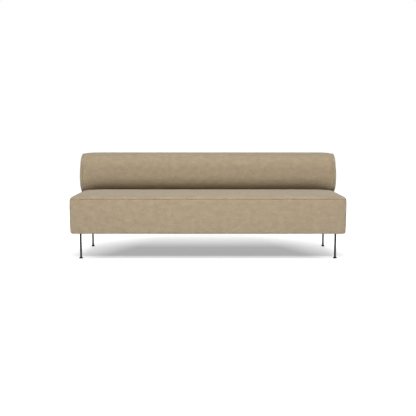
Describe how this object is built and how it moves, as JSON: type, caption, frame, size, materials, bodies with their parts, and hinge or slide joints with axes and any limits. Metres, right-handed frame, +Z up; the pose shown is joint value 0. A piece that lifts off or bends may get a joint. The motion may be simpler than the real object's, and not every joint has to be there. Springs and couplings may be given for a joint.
{
  "type": "armless sofa",
  "caption": "Armless sofa: a long upholstered box seat with a rounded bolster back, on thin black steel legs with levelling feet.",
  "frame": {"origin": "on the floor, under the middle of the sofa as seen from above", "axes": "+X to the right of someone who faces the sofa, +Y from the front to the back, +Z up"},
  "size_m": [2.032, 0.67, 0.7625],
  "materials": {
    "cover_cloth": "beige melange upholstery weave, matt",
    "foam": "open-cell upholstery foam",
    "wadding": "white polyester wadding",
    "felt": "grey needle felt",
    "webbing": "brown elastic upholstery webbing",
    "dust_cloth": "black non-woven cloth",
    "pine": "planed pine",
    "beech": "fluted beech",
    "plywood": "birch plywood",
    "black_steel": "black powder coat, fine texture",
    "black_screws": "black-coated steel",
    "zinc_steel": "zinc-plated steel",
    "nylon": "black nylon",
    "glide_pad": "dark grey slip pad"
  },
  "bodies": {
    "sofa": {"back_bar_centre": "black_steel", "back_bar_left": "black_steel", "back_bar_right": "black_steel", "back_board": "plywood", "back_cover_end_left": "cover_cloth", "back_cover_end_right": "cover_cloth", "back_cover_wrap": "cover_cloth", "back_end_pad_left": "foam", "back_end_pad_right": "foam", "back_foam_front": "foam", "back_foam_rear": "foam", "back_rib_left": "plywood", "back_rib_right": "plywood", "bar_bolts": "zinc_steel", "bar_tee_nuts": "zinc_steel", "corner_block_back_left": "pine", "corner_block_back_right": "pine", "corner_block_front_left": "pine", "corner_block_front_right": "pine", "cross_rail_left": "pine", "cross_rail_right": "pine", "dust_cover": "dust_cloth", "frame_dowels": "beech", "leg_back_left": "black_steel", "leg_back_right": "black_steel", "leg_front_left": "black_steel", "leg_front_right": "black_steel", "leg_inserts": "nylon", "leg_screws": "black_screws", "rail_padding": "wadding", "rib_screws": "zinc_steel", "seat_cover_boxing": "cover_cloth", "seat_cover_top": "cover_cloth", "seat_foam": "foam", "seat_rail_back": "pine", "seat_rail_front": "pine", "seat_rail_left": "pine", "seat_rail_right": "pine", "seat_topper": "foam", "webbing_crosswise": "webbing", "webbing_felt": "felt", "webbing_lengthwise": "webbing"},
    "glide_front_left": {"glide_front_left": "black_steel", "glide_pad_front_left": "glide_pad"},
    "glide_front_right": {"glide_front_right": "black_steel", "glide_pad_front_right": "glide_pad"},
    "glide_back_left": {"glide_back_left": "black_steel", "glide_pad_back_left": "glide_pad"},
    "glide_back_right": {"glide_back_right": "black_steel", "glide_pad_back_right": "glide_pad"}
  },
  "joints": [
    {"name": "level_front_left", "type": "slide", "parent": "sofa", "child": "glide_front_left", "axis": [0, 0, -1], "range_m": [0, 0.01]},
    {"name": "level_front_right", "type": "slide", "parent": "sofa", "child": "glide_front_right", "axis": [0, 0, -1], "range_m": [0, 0.01]},
    {"name": "level_back_left", "type": "slide", "parent": "sofa", "child": "glide_back_left", "axis": [0, 0, -1], "range_m": [0, 0.01]},
    {"name": "level_back_right", "type": "slide", "parent": "sofa", "child": "glide_back_right", "axis": [0, 0, -1], "range_m": [0, 0.01]}
  ]
}
